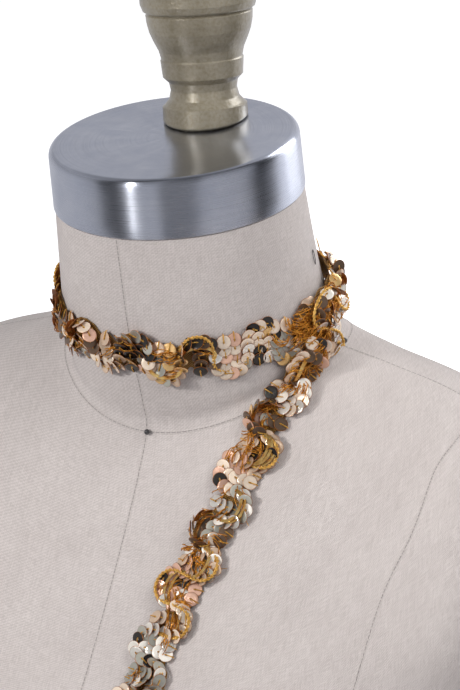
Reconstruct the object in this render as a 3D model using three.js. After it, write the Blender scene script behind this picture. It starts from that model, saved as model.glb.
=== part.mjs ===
// A gold sequin trim, wound once round the neck of a plain dress form with one end hanging down.
// Millimetres. +Z is up, the form faces -Y and its left arm side is +X.
// The origin is the centre of the flat face that the form stands on.
import * as THREE from "three";

// Sequins and the path that they are sewn along
const SEQUIN_DIAMETER = 6.0;
const SEQUIN_SPACING = 3.2;
const HALF_WAVE = 12.8;
const WAVE_SWING = 2.3;
const COLUMN_GAP = 4.2;
const COLUMN_INSET = 4.8;
const COLUMN_STOP = 1.5;

// Thickness of the trim, and how far it lies above what carries it
const BASE_THICKNESS = 0.8;
const FLAT_RISE = 1.3;
const ROLLED_RISE = 2.6;
const PRESSED_THICKNESS = 2.0;
const CLOTH_GAP = 0.5;
const LAP_GAP = 0.9;
const LAP_REACH = 13.0;
const LAP_SLOPE = 6.5;
const LAP_RUFFLE = 0.6;
const NARROWEST_REACH = 5.5;
const DOME_RADIUS = 3.7;

// Steps of the trim's mesh
const STATION_LENGTH = 2.2;
const TRIM_COLUMNS = 7;

// Steps of the form's mesh
const ANGLES_AROUND = 54;
const RINGS_PER_ROW = 4;

// Neck cap, finial and pins
const PIECE_GAP = 0.35;
const CAP_LEAN = 11.0;
const CAP_HEIGHT = 25.0;
const CAP_RADIUS_BOTTOM = 52.0;
const CAP_RADIUS_TOP = 51.5;
const CAP_EDGE_RADIUS = 3.0;
const CAP_FACETS = 54;
const CAP_EDGE_STEPS = 4;
const FINIAL_FOOT_HEIGHT = 5.6;
const FINIAL_PLACE = { x: 2.9, y: 22.2 };
const FINIAL_LEAN = { forward: 2.0, side: 2.9 };
const FINIAL_FACETS = 30;
const PIN_HEAD_RADIUS = 1.2;
const WIRE_RADIUS = 0.35;
const WIRE_LOOP_RADIUS = 1.0;
const WIRE_LOOP_STRETCH = 3.2;

// Rings of the form from the neck's top to its base: half width, front and back along Y, the height
// at the sides, the front and the back, and how square the ring is (2 is an ellipse).
const FORM_RINGS = [
  { half: 51.4, front: -55.6, back: 45.2, zSide: 242.0, zFront: 232.2, zBack: 251.8, square: 2.0 },
  { half: 55.3, front: -45.7, back: 54.0, zSide: 204.0, zFront: 189.0, zBack: 213.0, square: 2.0 },
  { half: 59.5, front: -36.0, back: 62.0, zSide: 187.0, zFront: 161.0, zBack: 190.0, square: 2.0 },
  { half: 62.5, front: -33.0, back: 68.0, zSide: 180.0, zFront: 148.5, zBack: 180.0, square: 2.0 },
  { half: 84.0, front: -40.0, back: 79.0, zSide: 173.5, zFront: 130.0, zBack: 163.0, square: 2.0 },
  { half: 116.0, front: -56.8, back: 94.0, zSide: 164.5, zFront: 98.7, zBack: 138.0, square: 2.1 },
  { half: 150.0, front: -78.0, back: 104.0, zSide: 149.0, zFront: 64.0, zBack: 104.0, square: 2.2 },
  { half: 167.0, front: -94.0, back: 110.0, zSide: 114.0, zFront: 40.0, zBack: 70.0, square: 2.3 },
  { half: 162.0, front: -104.0, back: 110.0, zSide: 54.0, zFront: 19.0, zBack: 32.0, square: 2.4 },
  { half: 154.0, front: -108.0, back: 108.0, zSide: 0.0, zFront: 0.0, zBack: 0.0, square: 2.4 },
];

// The trim's centre line on the form: degrees round from the left side, falling as it goes round by
// the front, and the ring that it lies on, counted from 0 at the neck's top.
const TRIM_PATH = [
  { turn: 34, ring: 1.6 },
  { turn: 10, ring: 1.5 },
  { turn: -14, ring: 1.44 },
  { turn: -38, ring: 1.34 },
  { turn: -62, ring: 1.26 },
  { turn: -85, ring: 1.17 },
  { turn: -108, ring: 1.13 },
  { turn: -130, ring: 1.17 },
  { turn: -153, ring: 1.24 },
  { turn: -178, ring: 1.27 },
  { turn: -204, ring: 1.29 },
  { turn: -230, ring: 1.3 },
  { turn: -256, ring: 1.3 },
  { turn: -282, ring: 1.28 },
  { turn: -306, ring: 1.26 },
  { turn: -328, ring: 1.22 },
  { turn: -348, ring: 1.2 },
  { turn: -361, ring: 1.42 },
  { turn: -372, ring: 1.96 },
  { turn: -382, ring: 2.64 },
  { turn: -390, ring: 3.0 },
  { turn: -399, ring: 3.28 },
  { turn: -409, ring: 3.68 },
  { turn: -417, ring: 4.04 },
  { turn: -423, ring: 4.38 },
  { turn: -428, ring: 4.68 },
  { turn: -432, ring: 4.96 },
  { turn: -435.5, ring: 5.24 },
  { turn: -438, ring: 5.54 },
  { turn: -440, ring: 5.86 },
  { turn: -441.5, ring: 6.2 },
  { turn: -442.7, ring: 6.56 },
  { turn: -443.4, ring: 6.94 },
  { turn: -443.8, ring: 7.3 },
];

// From this turn on the trim lies over its own first stretch
const LAP_FROM_TURN = -290;
const FIRST_STRETCH = 82;

// The half waves of the sequin strings, used in turn along the trim: how far the crest reaches from
// the centre line, how far it leans along it, the columns sewn inside it, and the turn of its
// sequins on to their edges, in degrees.
const LOBES = [
  { reach: 8.9, lean: 0.0, columns: 2, roll: 0 },
  { reach: 8.4, lean: 0.8, columns: 1, roll: 10 },
  { reach: 9.3, lean: -0.6, columns: 2, roll: 0 },
  { reach: 8.6, lean: 0.4, columns: 2, roll: 62 },
  { reach: 9.0, lean: 0.9, columns: 1, roll: 0 },
  { reach: 9.4, lean: -0.9, columns: 2, roll: -15 },
  { reach: 8.2, lean: 0.2, columns: 2, roll: 0 },
  { reach: 9.1, lean: -0.4, columns: 1, roll: 55 },
  { reach: 9.5, lean: 0.7, columns: 2, roll: 0 },
  { reach: 8.6, lean: -0.8, columns: 2, roll: -8 },
  { reach: 9.2, lean: 0.5, columns: 1, roll: 0 },
  { reach: 8.3, lean: -0.3, columns: 2, roll: 68 },
  { reach: 9.0, lean: 0.1, columns: 2, roll: 0 },
];

// The finial's half profile: height above its foot and radius
const FINIAL_PROFILE = [
  { height: 0.0, radius: 16.9 },
  { height: 0.7, radius: 17.6 },
  { height: 5.6, radius: 17.5 },
  { height: 6.3, radius: 16.6 },
  { height: 8.6, radius: 14.6 },
  { height: 12.4, radius: 13.7 },
  { height: 15.6, radius: 14.3 },
  { height: 17.9, radius: 16.6 },
  { height: 24.8, radius: 17.2 },
  { height: 25.4, radius: 16.8 },
  { height: 28.8, radius: 17.6 },
  { height: 32.9, radius: 19.5 },
  { height: 36.7, radius: 21.0 },
  { height: 40.4, radius: 21.8 },
  { height: 43.8, radius: 22.1 },
  { height: 44.6, radius: 21.4 },
  { height: 45.5, radius: 23.1 },
  { height: 48.4, radius: 24.1 },
  { height: 54.0, radius: 24.1 },
  { height: 57.0, radius: 22.0 },
  { height: 59.6, radius: 17.0 },
  { height: 61.4, radius: 10.0 },
  { height: 62.2, radius: 4.0 },
];

// Where the pins stand on the form: degrees round from the left side and ring
const FRONT_PIN = { turn: -89, ring: 3.07 };
const SIDE_PIN = { turn: 3.5, ring: 3.04 };
const WIRE_LOOP = { turn: 13, ring: 0.7 };

const COLORS = {
  fabric: { color: 0xc9c1bb, roughness: 0.92, metalness: 0.0 },
  steel: { color: 0xb4b6bc, roughness: 0.3, metalness: 1.0 },
  castMetal: { color: 0xaaa38c, roughness: 0.45, metalness: 0.6 },
  trim: { color: 0xcaa874, roughness: 0.38, metalness: 0.7 },
  pin: { color: 0x6d6a66, roughness: 0.3, metalness: 1.0 },
};

function radians(degrees) {
  return THREE.MathUtils.degToRad(degrees);
}

// A value between the rows of a table, on a smooth curve through them
function tableValue(table, column, position) {
  const last = table.length - 1;
  const at = THREE.MathUtils.clamp(position, 0, last);
  const row = Math.min(Math.floor(at), last - 1);
  const part = at - row;
  const before = table[Math.max(row - 1, 0)][column];
  const from = table[row][column];
  const to = table[row + 1][column];
  const after = table[Math.min(row + 2, last)][column];
  const pull = 2 * before - 5 * from + 4 * to - after;
  const bend = -before + 3 * from - 3 * to + after;
  return from + 0.5 * part * (to - before + part * (pull + part * bend));
}

function signedPower(value, power) {
  return Math.sign(value) * Math.pow(Math.abs(value), power);
}

// The point of the form's surface at an angle round it and a ring position down it
function formPoint(angle, ring) {
  const value = (column) => tableValue(FORM_RINGS, column, ring);
  const power = 2 / value("square");
  const side = Math.cos(angle);
  const rear = Math.sin(angle);
  const tilt = (value("zBack") - value("zFront")) / 2;
  const sag = (value("zBack") + value("zFront")) / 2 - value("zSide");
  return new THREE.Vector3(
    value("half") * signedPower(side, power),
    ringCentreY(ring) + ((value("back") - value("front")) / 2) * signedPower(rear, power),
    value("zSide") + tilt * rear + sag * rear * rear,
  );
}

function ringCentreY(ring) {
  return (tableValue(FORM_RINGS, "front", ring) + tableValue(FORM_RINGS, "back", ring)) / 2;
}

function ringCentre(ring) {
  return new THREE.Vector3(0, ringCentreY(ring), tableValue(FORM_RINGS, "zSide", ring));
}

// The surface's two directions at a place, round it and down it
function formTangents(angle, ring) {
  const step = 1e-3;
  const round = formPoint(angle + step, ring).sub(formPoint(angle - step, ring));
  const down = formPoint(angle, ring + step).sub(formPoint(angle, ring - step));
  return { round: round.divideScalar(2 * step), down: down.divideScalar(2 * step) };
}

function formNormal(angle, ring) {
  const { round, down } = formTangents(angle, ring);
  return down.cross(round).normalize();
}

// A walk over the form's surface from a place, in a direction, for a distance
function walk(angle, ring, direction, distance) {
  const longestStep = 1.5;
  const steps = Math.max(1, Math.ceil(Math.abs(distance) / longestStep));
  const heading = direction.clone();
  const place = { angle, ring };
  for (let step = 0; step < steps; step += 1) {
    const { round, down } = formTangents(place.angle, place.ring);
    const normal = down.clone().cross(round).normalize();
    heading.addScaledVector(normal, -heading.dot(normal)).normalize();
    const across = round.dot(round);
    const mixed = round.dot(down);
    const along = down.dot(down);
    const size = across * along - mixed * mixed;
    const toRound = round.dot(heading);
    const toDown = down.dot(heading);
    const length = distance / steps;
    place.angle += ((along * toRound - mixed * toDown) / size) * length;
    place.ring += ((across * toDown - mixed * toRound) / size) * length;
  }
  return place;
}

// Moves each vertex of a geometry to where a function puts it
function bend(geometry, place) {
  const positions = geometry.attributes.position;
  const vertex = new THREE.Vector3();
  for (let index = 0; index < positions.count; index += 1) {
    vertex.fromBufferAttribute(positions, index);
    const moved = place(vertex);
    positions.setXYZ(index, moved.x, moved.y, moved.z);
  }
  geometry.computeVertexNormals();
  return geometry;
}

// Neck, shoulders and upper chest of the form: a closed drum bent on to the rings
function formBodyGeometry() {
  const lastRing = FORM_RINGS.length - 1;
  const drum = new THREE.CylinderGeometry(1, 1, 1, ANGLES_AROUND, lastRing * RINGS_PER_ROW);
  drum.rotateX(Math.PI / 2);
  return bend(drum, (vertex) => {
    const angle = Math.atan2(vertex.y, vertex.x);
    const ring = lastRing * (0.5 - vertex.z);
    const rim = formPoint(angle, ring);
    return ringCentre(ring).lerp(rim, Math.hypot(vertex.x, vertex.y));
  });
}

function capProfile() {
  const corner = new THREE.Path();
  const inner = CAP_RADIUS_TOP - CAP_EDGE_RADIUS;
  corner.absarc(inner, CAP_HEIGHT - CAP_EDGE_RADIUS, CAP_EDGE_RADIUS, 0, Math.PI / 2);
  const bottom = [new THREE.Vector2(0, 0), new THREE.Vector2(CAP_RADIUS_BOTTOM, 0)];
  return [...bottom, ...corner.getPoints(CAP_EDGE_STEPS), new THREE.Vector2(0, CAP_HEIGHT)];
}

function finialProfile() {
  const outline = FINIAL_PROFILE.map(({ height, radius }) => new THREE.Vector2(radius, height));
  const crown = FINIAL_PROFILE[FINIAL_PROFILE.length - 1].height;
  return [new THREE.Vector2(0, 0), ...outline, new THREE.Vector2(0, crown)];
}

// A turned solid that stands along +Z
function turned(profile, facets) {
  const solid = new THREE.LatheGeometry(profile, facets);
  solid.rotateX(Math.PI / 2);
  return solid;
}

// The trim's centre line, in even steps of length
function trimCentreLine() {
  const samplesPerRow = 24;
  const samples = [];
  let length = 0;
  let previous = null;
  for (let index = 0; index <= (TRIM_PATH.length - 1) * samplesPerRow; index += 1) {
    const row = index / samplesPerRow;
    const turn = tableValue(TRIM_PATH, "turn", row);
    const ring = tableValue(TRIM_PATH, "ring", row);
    const point = formPoint(radians(turn), ring);
    length += previous ? point.distanceTo(previous) : 0;
    samples.push({ turn, ring, point, length });
    previous = point;
  }
  return { samples, length };
}

function stationAt(line, length) {
  const wanted = THREE.MathUtils.clamp(length, 0, line.length);
  let next = 1;
  while (next < line.samples.length - 1 && line.samples[next].length < wanted) {
    next += 1;
  }
  const from = line.samples[next - 1];
  const to = line.samples[next];
  const part = (wanted - from.length) / (to.length - from.length);
  const turn = THREE.MathUtils.lerp(from.turn, to.turn, part);
  const ring = THREE.MathUtils.lerp(from.ring, to.ring, part);
  const point = formPoint(radians(turn), ring);
  const normal = formNormal(radians(turn), ring);
  const forward = to.point.clone().sub(from.point).normalize();
  const across = normal.clone().cross(forward).normalize();
  return { turn, ring, point, across };
}

function lobe(index) {
  return LOBES[index % LOBES.length];
}

// The string that runs to and fro across the trim, from the crest of each half wave to the next
function stringPoint(wave) {
  const first = Math.floor(wave);
  const part = wave - first;
  const side = first % 2 === 0 ? 1 : -1;
  const reach = part < 0.5 ? lobe(first).reach : lobe(first + 1).reach;
  const lean = THREE.MathUtils.lerp(lobe(first).lean, lobe(first + 1).lean, part);
  return {
    u: HALF_WAVE * wave + WAVE_SWING * Math.sin(2 * Math.PI * part) + lean,
    v: side * reach * Math.cos(Math.PI * part),
  };
}

// Sequins of the long string, evenly spaced along it
function stringSequins(length) {
  const sequins = [];
  const step = 0.01;
  let travelled = 0;
  let previous = stringPoint(0);
  for (let wave = step; wave < length / HALF_WAVE; wave += step) {
    const here = stringPoint(wave);
    travelled += Math.hypot(here.u - previous.u, here.v - previous.v);
    previous = here;
    if (travelled >= SEQUIN_SPACING) {
      travelled -= SEQUIN_SPACING;
      sequins.push({ u: here.u, v: here.v, roll: lobe(Math.round(wave)).roll });
    }
  }
  return sequins;
}

// Sequins of the short columns inside the half waves
function columnSequins(length) {
  const sequins = [];
  for (let index = 1; index < length / HALF_WAVE; index += 1) {
    const { reach, lean, columns } = lobe(index);
    const side = index % 2 === 0 ? 1 : -1;
    for (let column = 0; column < columns; column += 1) {
      const u = HALF_WAVE * index + lean + (column - (columns - 1) / 2) * COLUMN_GAP;
      for (let v = reach - COLUMN_INSET; v > COLUMN_STOP - reach; v -= SEQUIN_SPACING) {
        sequins.push({ u, v: side * v, roll: 0 });
      }
    }
  }
  return sequins;
}

// How far the sewn sequins reach to one side of the centre line
function reachAt(sequins, u, side) {
  const radius = SEQUIN_DIAMETER / 2;
  let reach = NARROWEST_REACH;
  for (const sequin of sequins) {
    const aside = Math.abs(u - sequin.u);
    if (aside < radius) {
      reach = Math.max(reach, side * sequin.v + Math.sqrt(radius * radius - aside * aside));
    }
  }
  return reach;
}

// Thickness of the trim at a place: its base and the highest sequin that stands there
function thicknessAt(sequins, u, v) {
  let rise = 0;
  for (const sequin of sequins) {
    const distance = Math.hypot(u - sequin.u, v - sequin.v) / DOME_RADIUS;
    if (distance < 1) {
      const top = FLAT_RISE + (ROLLED_RISE - FLAT_RISE) * Math.sin(radians(Math.abs(sequin.roll)));
      rise = Math.max(rise, top * (1 - distance * distance));
    }
  }
  const pressed = 1 - THREE.MathUtils.smoothstep(u, FIRST_STRETCH, FIRST_STRETCH + HALF_WAVE);
  const full = BASE_THICKNESS + rise;
  return THREE.MathUtils.lerp(full, Math.min(full, PRESSED_THICKNESS), pressed);
}

// How fully a point of the trim lies over its own first stretch, from 0 to 1
function lapCover(station, point, firstStretch) {
  if (station.turn > LAP_FROM_TURN) {
    return 0;
  }
  const distance = Math.min(...firstStretch.map((inner) => inner.point.distanceTo(point)));
  return 1 - THREE.MathUtils.smoothstep(distance, LAP_REACH, LAP_REACH + LAP_SLOPE);
}

// The whole trim as one solid, with the scalloped edges and the lumps of its sequins
function trimGeometry() {
  const line = trimCentreLine();
  const sequins = [...stringSequins(line.length), ...columnSequins(line.length)];
  const count = Math.round(line.length / STATION_LENGTH);
  const stations = [];
  for (let index = 0; index <= count; index += 1) {
    const u = (line.length * index) / count;
    const station = stationAt(line, u);
    station.u = u;
    station.left = reachAt(sequins, u, -1);
    station.right = reachAt(sequins, u, 1);
    stations.push(station);
  }
  const firstStretch = stations.filter((station) => station.u < FIRST_STRETCH);
  const strip = new THREE.BoxGeometry(1, 1, 1, count, TRIM_COLUMNS, 1);
  return bend(strip, (vertex) => {
    const station = stations[Math.round((vertex.x + 0.5) * count)];
    const v = THREE.MathUtils.lerp(-station.left, station.right, vertex.y + 0.5);
    const place = walk(radians(station.turn), station.ring, station.across, v);
    const foot = formPoint(place.angle, place.ring);
    const normal = formNormal(place.angle, place.ring);
    const cover = lapCover(station, foot, firstStretch);
    const lift = CLOTH_GAP + (PRESSED_THICKNESS + LAP_GAP) * cover;
    const thickness = vertex.z > 0 ? thicknessAt(sequins, station.u, v) * (1 + LAP_RUFFLE * cover) : 0;
    return foot.addScaledVector(normal, lift + thickness);
  });
}

function named(name, geometry, finish) {
  const mesh = new THREE.Mesh(geometry, new THREE.MeshStandardMaterial(finish));
  mesh.name = name;
  return mesh;
}

// The cap lies on the neck's sloping top
function neckCap() {
  const cap = named("neck_cap", turned(capProfile(), CAP_FACETS), COLORS.steel);
  cap.rotation.x = radians(CAP_LEAN);
  cap.position.copy(ringCentre(0)).addScaledVector(capNormal(), PIECE_GAP);
  return cap;
}

function capNormal() {
  return new THREE.Vector3(0, 0, 1).applyAxisAngle(new THREE.Vector3(1, 0, 0), radians(CAP_LEAN));
}

// The finial stands nearly upright, and its foot is cut to the slope of the cap that it stands on
function finial() {
  const { forward, side } = FINIAL_LEAN;
  const turn = new THREE.Quaternion();
  turn.setFromEuler(new THREE.Euler(radians(forward), radians(-side), 0));
  const slope = capNormal().applyQuaternion(turn.clone().invert());
  const solid = bend(turned(finialProfile(), FINIAL_FACETS), (vertex) => {
    const cut = Math.max(0, 1 - vertex.z / FINIAL_FOOT_HEIGHT);
    vertex.z -= (cut * (slope.x * vertex.x + slope.y * vertex.y)) / slope.z;
    return vertex;
  });
  const mesh = named("finial", solid, COLORS.castMetal);
  const rearward = new THREE.Vector3(1, 0, 0).cross(capNormal()).negate();
  mesh.quaternion.copy(turn);
  mesh.position.copy(ringCentre(0)).addScaledVector(capNormal(), CAP_HEIGHT + 2 * PIECE_GAP);
  mesh.position.addScaledVector(rearward, FINIAL_PLACE.y);
  mesh.position.x += FINIAL_PLACE.x;
  return mesh;
}

// A place on the form, pushed out along its normal
function offForm({ turn, ring }, distance) {
  const angle = radians(turn);
  return formPoint(angle, ring).addScaledVector(formNormal(angle, ring), distance);
}

function pinHead(name, place) {
  const head = named(name, new THREE.SphereGeometry(PIN_HEAD_RADIUS, 10, 6), COLORS.pin);
  head.position.copy(offForm(place, PIN_HEAD_RADIUS + PIECE_GAP));
  return head;
}

// A small upright loop of wire that stands flat against the neck
function wireLoop() {
  const loop = named(
    "pin_loop",
    new THREE.TorusGeometry(WIRE_LOOP_RADIUS, WIRE_RADIUS, 6, 18),
    COLORS.pin,
  );
  const normal = formNormal(radians(WIRE_LOOP.turn), WIRE_LOOP.ring);
  const { down } = formTangents(radians(WIRE_LOOP.turn), WIRE_LOOP.ring);
  const up = down.normalize().negate();
  const sideways = up.clone().cross(normal);
  loop.setRotationFromMatrix(new THREE.Matrix4().makeBasis(sideways, up, normal));
  loop.position.copy(offForm(WIRE_LOOP, WIRE_RADIUS + PIECE_GAP));
  loop.scale.y = WIRE_LOOP_STRETCH;
  return loop;
}

const object = new THREE.Group();
object.add(named("form_body", formBodyGeometry(), COLORS.fabric));
object.add(neckCap());
object.add(finial());
object.add(named("sequin_trim", trimGeometry(), COLORS.trim));
object.add(pinHead("pin_front", FRONT_PIN));
object.add(pinHead("pin_side", SIDE_PIN));
object.add(wireLoop());

export default object;
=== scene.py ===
import math

import bpy
import numpy as np
from mathutils import Euler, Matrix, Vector


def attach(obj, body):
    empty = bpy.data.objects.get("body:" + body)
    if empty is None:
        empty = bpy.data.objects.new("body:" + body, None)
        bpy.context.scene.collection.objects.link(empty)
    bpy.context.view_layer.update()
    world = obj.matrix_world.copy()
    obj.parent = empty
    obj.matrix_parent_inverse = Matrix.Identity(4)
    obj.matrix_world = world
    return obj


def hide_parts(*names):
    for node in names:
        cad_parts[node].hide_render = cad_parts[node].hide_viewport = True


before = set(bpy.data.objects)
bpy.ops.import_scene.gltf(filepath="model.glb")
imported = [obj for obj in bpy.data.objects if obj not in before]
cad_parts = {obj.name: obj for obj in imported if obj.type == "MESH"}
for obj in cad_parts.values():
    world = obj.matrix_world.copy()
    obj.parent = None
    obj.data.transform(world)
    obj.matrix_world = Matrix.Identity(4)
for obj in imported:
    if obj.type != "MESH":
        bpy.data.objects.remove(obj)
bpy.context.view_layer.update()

MM = 0.001
ROOT = "root"
RANDOM = np.random.default_rng(29)

# Camera: round the object, above the horizon, from the point that it looks at
CAMERA_AZIMUTH = 29.0
CAMERA_ELEVATION = 14.0
CAMERA_DISTANCE = 1.2
CAMERA_AIM = (0.0293, -0.0153, 0.1836)
PHOTO_SIZE = (460, 690)
FOCAL_PIXELS = 2940.0
SENSOR = 36.0

# Sequins and the path that they are sewn along
SEQUIN_DIAMETER = 6.0
SEQUIN_THICKNESS = 0.22
SEQUIN_HOLE = 0.9
SEQUIN_SEGMENTS = 20
SEQUIN_SPACING = 3.2
SEQUIN_TILT = 23.0
HALF_WAVE = 12.8
WAVE_SWING = 2.3
COLUMN_GAP = 4.2
COLUMN_INSET = 4.8
COLUMN_STOP = 1.5
STRING_LEVEL = 0.75
COLUMN_LEVEL = 0.35
END_MARGIN = 3.5

# Scatter of the sequins: of their place, of their heading in radians, and of tilt and roll
SEQUIN_JITTER = 0.22
HEADING_SCATTER = 0.10
TILT_SCATTER = 4.5
ROLL_SCATTER = 8.0

# How much a sequin is dished, and how many are bent and by how much
DISH = 0.05
BENT_SHARE = 0.2
BEND = 0.35

# A sequin's stitch: out from its hole, and up from its face
STITCH_RADIUS = 0.24
STITCH_ROUTE = (
    (-0.75, -0.1), (-0.4, 0.30), (0.1, 0.48), (0.8, 0.42), (2.0, 0.34), (2.9, 0.30), (3.3, 0.05),
    (3.5, -0.35),
)

# Shades of the sequins' faces, partly their own colours and partly painted reflections and highlights, and
# the ones that fall at random between a crest's own two
SHADES_AND_REFLECTIONS = {
    "cream": (0.95, 0.79, 0.63),
    "beige": (0.72, 0.54, 0.39),
    "pink": (0.80, 0.50, 0.37),
    "silver": (0.95, 0.91, 0.83),
    "sage": (0.46, 0.45, 0.39),
    "brown": (0.15, 0.095, 0.06),
    "black": (0.030, 0.026, 0.023),
    "gold": (0.88, 0.58, 0.25),
}
OWN_SHADE = 0.58
SECOND_SHADE = 0.84

# What each crest of the strings that the front view shows looks like: its two shades, part own
# colour and part painted reflection and highlight, whether a cord lies over it, and how many bunches
# of loose thread lie round it
CREST_COLUMNS = ("first", "second", "cord", "bunches")
CRESTS = {
    3: ("cream", "brown", False, 9),
    4: ("silver", "sage", False, 3),
    5: ("cream", "black", False, 0),
    6: ("cream", "pink", False, 0),
    7: ("black", "brown", True, 1),
    8: ("beige", "gold", False, 5),
    9: ("black", "sage", False, 1),
    10: ("cream", "beige", False, 1),
    11: ("cream", "brown", False, 2),
    12: ("brown", "cream", False, 3),
    13: ("brown", "beige", False, 3),
    26: ("beige", "brown", False, 5),
    27: ("brown", "beige", False, 8),
    # Crests 28 and 30 are silver and cream as painted highlights of sequins that face the lamps
    28: ("silver", "cream", True, 5),
    29: ("brown", "silver", True, 14),
    30: ("silver", "cream", True, 4),
    31: ("cream", "brown", False, 14),
    32: ("silver", "cream", False, 3),
    33: ("brown", "pink", False, 5),
    34: ("beige", "black", True, 6),
    35: ("cream", "pink", False, 2),
    36: ("silver", "sage", False, 2),
    37: ("brown", "sage", False, 4),
    38: ("beige", "silver", True, 6),
    39: ("pink", "black", True, 5),
    40: ("cream", "beige", True, 4),
    41: ("silver", "sage", False, 1),
    42: ("sage", "silver", False, 2),
    43: ("cream", "pink", False, 1),
}
OTHER_CRESTS = (
    ("cream", "beige", False, 1),
    ("beige", "sage", True, 1),
    ("silver", "cream", False, 0),
    ("brown", "black", False, 2),
    ("cream", "pink", False, 0),
    ("gold", "beige", True, 2),
    ("cream", "sage", False, 1),
)

# Thread ends: crest, how far past its edge, and how far along the trim
THREAD_ENDS = (
    (8, 5.0, 3.0), (10, 3.5, -2.0), (13, 4.0, 2.0), (27, 11.0, -2.6), (27, 10.0, -1.0), (27, 9.0, 1.5),
    (27, 10.6, -2.0), (27, 9.5, 0.4), (29, 5.0, 2.0), (34, 4.5, 1.0), (36, 5.5, 4.0), (37, 5.0, -3.0),
    (38, 6.0, -3.0), (41, 4.0, 3.0), (42, 4.5, 2.0), (18, 5.0, -3.0), (21, 4.5, 3.0),
)
THREAD_END_RADIUS = 0.15

# Gold film: its section, and crest, how far inside the strings and height over the base
FILM_SECTION = ((-0.7, 0.0), (0.7, 0.35), (0.7, 0.22), (-0.7, -0.13))
FILM_SPAN = 0.42
FILM_ARCH = 0.7
FILM_STRIPS = (
    (7, 2.6, 2.8), (8, 2.2, 3.0), (31, 2.8, 3.6), (33, 2.4, 3.4), (34, -0.4, 3.2), (34, 1.4, 3.6),
    (34, 3.2, 3.0), (36, 0.2, 3.2), (36, 1.9, 3.4), (37, 2.6, 2.8), (38, 2.8, 3.4), (39, 2.4, 3.0),
    (39, 4.6, 2.6), (40, 2.6, 3.0), (42, 2.8, 2.6), (15, 2.8, 2.6), (22, 2.6, 2.6),
)

# How the trim lies: on the form, and over its own first stretch
CLOTH_GAP = 0.5
PRESSED_THICKNESS = 2.0
LAP_GAP = 0.9
LAP_REACH = 13.0
LAP_SLOPE = 6.5
LAP_FROM_TURN = -290
FIRST_STRETCH = 82
TAIL_FROM = 395.0
LAP_START = 345.0
LAP_END = 392.0
LAP_ROLL = 42.0
LAP_ROLLED_SHARE = 0.7
LAP_ROLLED_TO = 3

# How much of their tilt, roll and level the sequins lose where the trim is pressed flat
PRESSED_TILT = 0.55
PRESSED_ROLL = 0.8
PRESSED_LEVEL = 0.7

# The twisted gold cord: its plies, and how far out and up it lies under the crests and over them
CORD_PLIES = 2
PLY_RADIUS = 0.40
PLY_OFFSET = 0.391
CORD_PITCH = 3.4
CORD_OUT = (-1.2, 2.0)
CORD_UP = (0.9, 3.8)

# Bunches of loose thread: where across the trim they start, as shares of a crest's reach, how
# far they turn and curl, and the radius, length, height and arch of a thread
HEAP = (-0.6, 0.6)
LAP_HEAP = (-0.3, 0.95)
BUNCH_TURN = 0.7
BUNCH_CURL = 1.3
BUNCH_STRANDS = 5
LAP_STRANDS = 7
THREAD_RADIUS = 0.2
THREAD_LENGTHS = (5, 11)
THREAD_HEIGHT = 2.3
THREAD_ARCHES = (0.6, 2.4)

# The knot of thread beside the crossing: where along and across the trim its bunches start,
# how far they scatter, how far it reaches from the centre line, and how many there are
KNOT_PLACE = (39.0, -0.5)
KNOT_SPREAD = (3.0, 4.0)
KNOT_REACH = 9.3
KNOT_BUNCHES = 18
KNOT_STRANDS = 6

# The net base under the sequins, which stops inside their scalloped outline
BRAID_INSET = 2.2
BRAID_THICKNESS = 0.35
BRAID_TOP = 0.45
BRAID_LIFT = 0.05
BRAID_RIPPLE = 0.12
BRAID_COLUMNS = 11
NARROWEST_REACH = 5.5

# The form's rings from the neck's top down: half width, front, back, height at the side, front
# and back, and how square they are
FORM_RINGS = np.array([
    (51.4, -55.6, 45.2, 242.0, 232.2, 251.8, 2.0),
    (55.3, -45.7, 54.0, 204.0, 189.0, 213.0, 2.0),
    (59.5, -36.0, 62.0, 187.0, 161.0, 190.0, 2.0),
    (62.5, -33.0, 68.0, 180.0, 148.5, 180.0, 2.0),
    (84.0, -40.0, 79.0, 173.5, 130.0, 163.0, 2.0),
    (116.0, -56.8, 94.0, 164.5, 98.7, 138.0, 2.1),
    (150.0, -78.0, 104.0, 149.0, 64.0, 104.0, 2.2),
    (167.0, -94.0, 110.0, 114.0, 40.0, 70.0, 2.3),
    (162.0, -104.0, 110.0, 54.0, 19.0, 32.0, 2.4),
    (154.0, -108.0, 108.0, 0.0, 0.0, 0.0, 2.4),
])

# The trim's centre line: degrees round from the left side, and the ring that it lies on
TRIM_PATH = np.array([
    (34, 1.6), (10, 1.5), (-14, 1.44), (-38, 1.34), (-62, 1.26), (-85, 1.17), (-108, 1.13),
    (-130, 1.17), (-153, 1.24), (-178, 1.27), (-204, 1.29), (-230, 1.3), (-256, 1.3),
    (-282, 1.28), (-306, 1.26), (-328, 1.22), (-348, 1.2), (-361, 1.42), (-372, 1.96),
    (-382, 2.64), (-390, 3.0), (-399, 3.28), (-409, 3.68), (-417, 4.04), (-423, 4.38),
    (-428, 4.68), (-432, 4.96), (-435.5, 5.24), (-438, 5.54), (-440, 5.86), (-441.5, 6.2),
    (-442.7, 6.56), (-443.4, 6.94), (-443.8, 7.3),
])

# Half waves of the strings: crest's reach, its lean, columns inside, turn on to the edge
LOBE_COLUMNS = ("reach", "lean", "columns", "roll")
LOBES = (
    (8.9, 0.0, 2, 0),
    (8.4, 0.8, 1, 10),
    (9.3, -0.6, 2, 0),
    (8.6, 0.4, 2, 62),
    (9.0, 0.9, 1, 0),
    (9.4, -0.9, 2, -15),
    (8.2, 0.2, 2, 0),
    (9.1, -0.4, 1, 55),
    (9.5, 0.7, 2, 0),
    (8.6, -0.8, 2, -8),
    (9.2, 0.5, 1, 0),
    (8.3, -0.3, 2, 68),
    (9.0, 0.1, 2, 0),
)

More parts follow.
